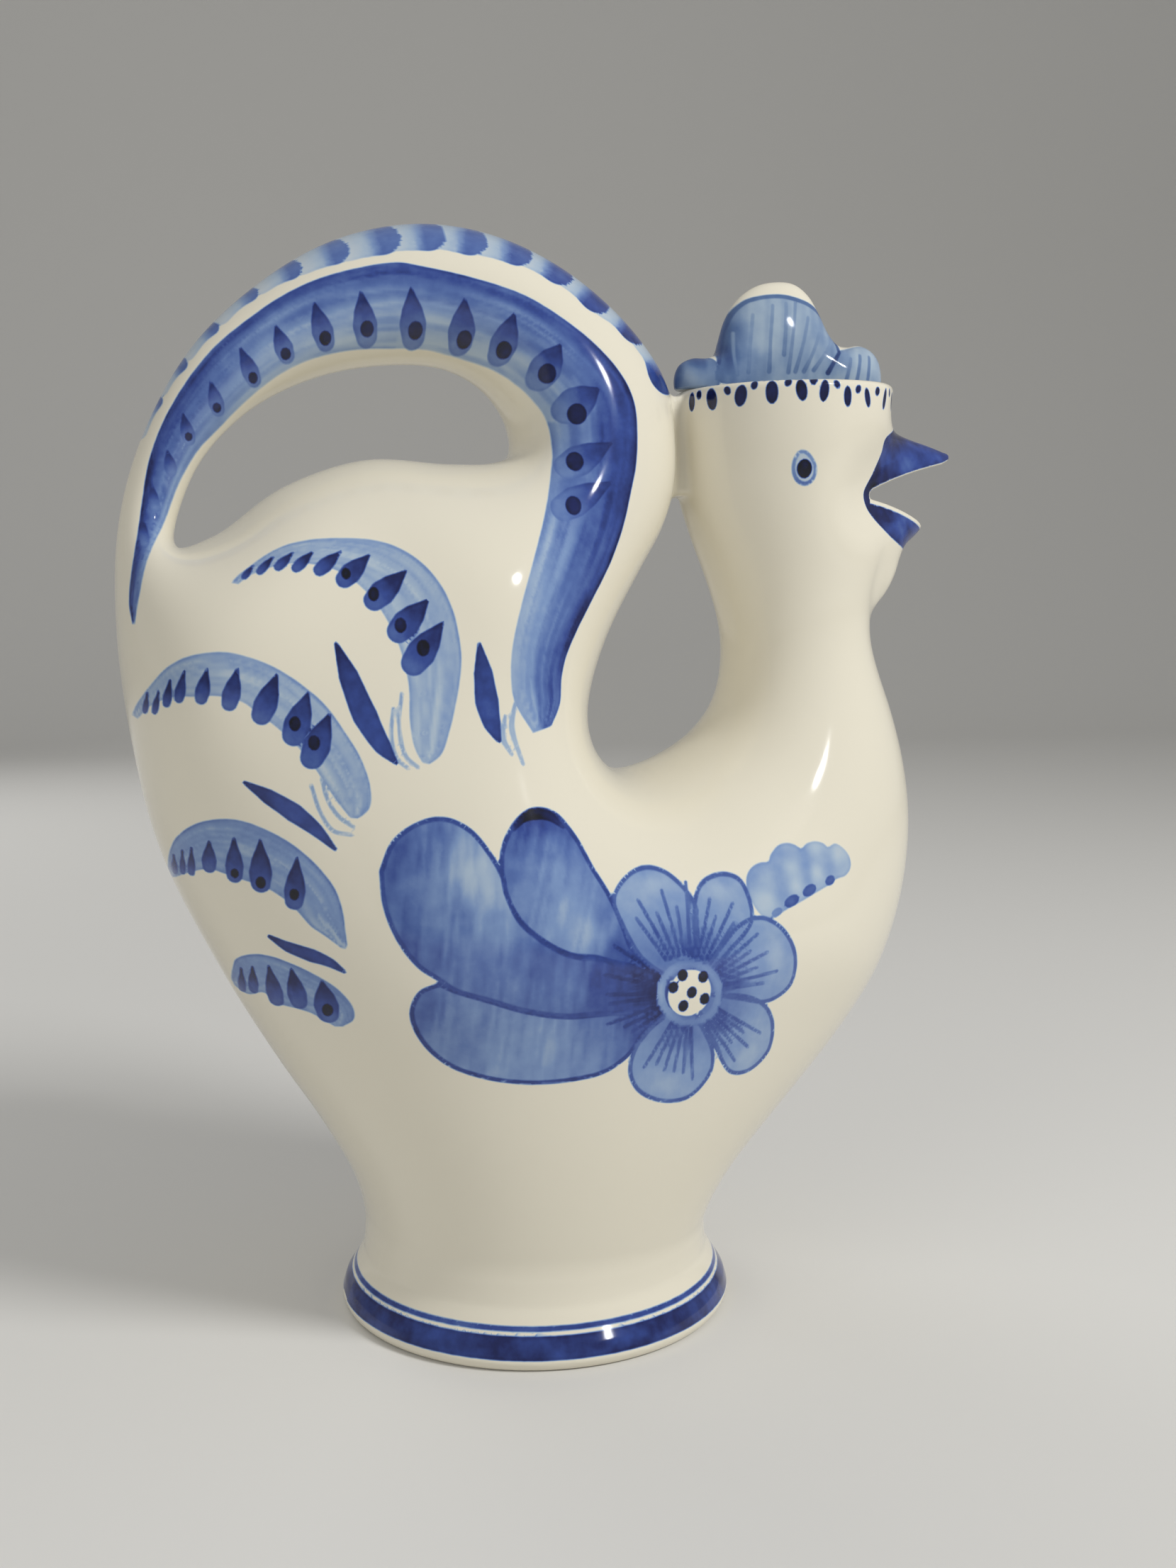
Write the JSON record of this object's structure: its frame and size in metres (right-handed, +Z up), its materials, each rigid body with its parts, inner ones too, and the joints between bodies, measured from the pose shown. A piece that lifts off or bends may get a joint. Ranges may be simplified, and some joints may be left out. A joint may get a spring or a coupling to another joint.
{
  "type": "carafe",
  "caption": "Rooster-shaped glazed ceramic carafe with a tail arched into a handle, an open beak as the spout and a comb that lifts out as the stopper.",
  "frame": {"origin": "middle of the overall length and width, on the plane that the foot stands on", "axes": "+Z up, +X toward the beak, +Y to the bird's left side"},
  "size_m": [0.2153, 0.1098, 0.2696],
  "materials": {
    "ivory_glaze": "glossy warm ivory glaze with cobalt painting",
    "blue_glaze": "glossy mottled cobalt blue glaze",
    "comb_glaze": "glossy ivory glaze under a pale streaked cobalt wash"
  },
  "bodies": {
    "vessel": {"body": "ivory_glaze", "tail_handle": "ivory_glaze", "tail_bridge": "ivory_glaze", "upper_beak": "blue_glaze", "lower_beak": "blue_glaze"},
    "stopper": {"stopper_plug": "ivory_glaze", "comb": "comb_glaze"}
  },
  "joints": [
    {"name": "stopper_lift", "type": "slide", "parent": "vessel", "child": "stopper", "axis": [0, 0, 1], "range_m": [0, 0.04]}
  ]
}
